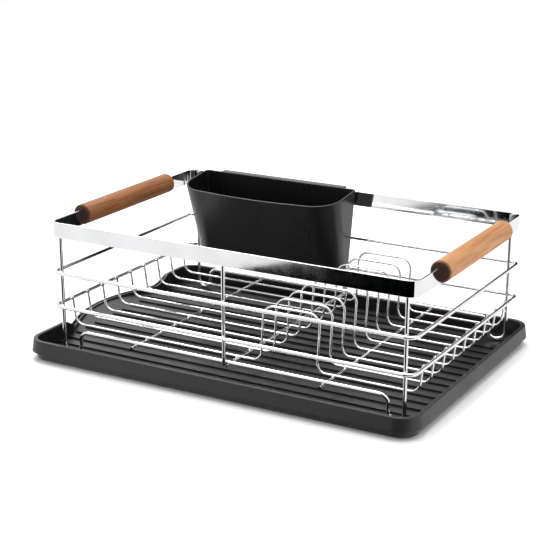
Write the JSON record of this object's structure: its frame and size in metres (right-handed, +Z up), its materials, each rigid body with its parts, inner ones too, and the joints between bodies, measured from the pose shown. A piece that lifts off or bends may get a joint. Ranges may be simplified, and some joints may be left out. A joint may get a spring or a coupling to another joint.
{
  "type": "dish drying rack",
  "caption": "Chromed wire dish drying rack with a flat rim band, wooden dowel handles, a row of plate dividers, a ribbed drip tray with a pouring lip and a hang-on cutlery caddy.",
  "frame": {"origin": "on the surface that the tray's pads stand on, under the middle of the whole object's box", "axes": "+X along the length, away from the pouring lip; +Y to the back, where the cutlery caddy hangs; +Z up"},
  "size_m": [0.479, 0.322, 0.1557],
  "materials": {
    "tray_plastic": "black moulded plastic, fine satin texture",
    "pad_rubber": "matt black",
    "chrome_wire": "bright chrome plate",
    "chrome_band": "bright chrome plate",
    "handle_wood": "oiled reddish hardwood",
    "caddy_plastic": "black moulded plastic, smooth satin"
  },
  "bodies": {
    "tray": {"drip_tray": "tray_plastic", "tray_pads": "pad_rubber"},
    "rack": {"front_frame_wire": "chrome_wire", "back_frame_wire": "chrome_wire", "centre_hoop": "chrome_wire", "left_cross_wire": "chrome_wire", "right_cross_wire": "chrome_wire", "lower_ring": "chrome_wire", "upper_ring": "chrome_wire", "plate_wire_1": "chrome_wire", "plate_wire_2": "chrome_wire", "plate_wire_3": "chrome_wire", "plate_wire_4": "chrome_wire", "plate_wire_5": "chrome_wire", "plate_wire_6": "chrome_wire", "plate_wire_7": "chrome_wire", "plate_wire_8": "chrome_wire", "plate_wire_9": "chrome_wire", "rim_band": "chrome_band", "left_handle": "handle_wood", "right_handle": "handle_wood"},
    "caddy": {"cutlery_caddy": "caddy_plastic"}
  },
  "joints": [
    {"name": "rack_lift", "type": "slide", "parent": "tray", "child": "rack", "axis": [0, 0, 1], "range_m": [0, 0.06]},
    {"name": "caddy_lift", "type": "slide", "parent": "rack", "child": "caddy", "axis": [0, 0, 1], "range_m": [0, 0.12]}
  ]
}
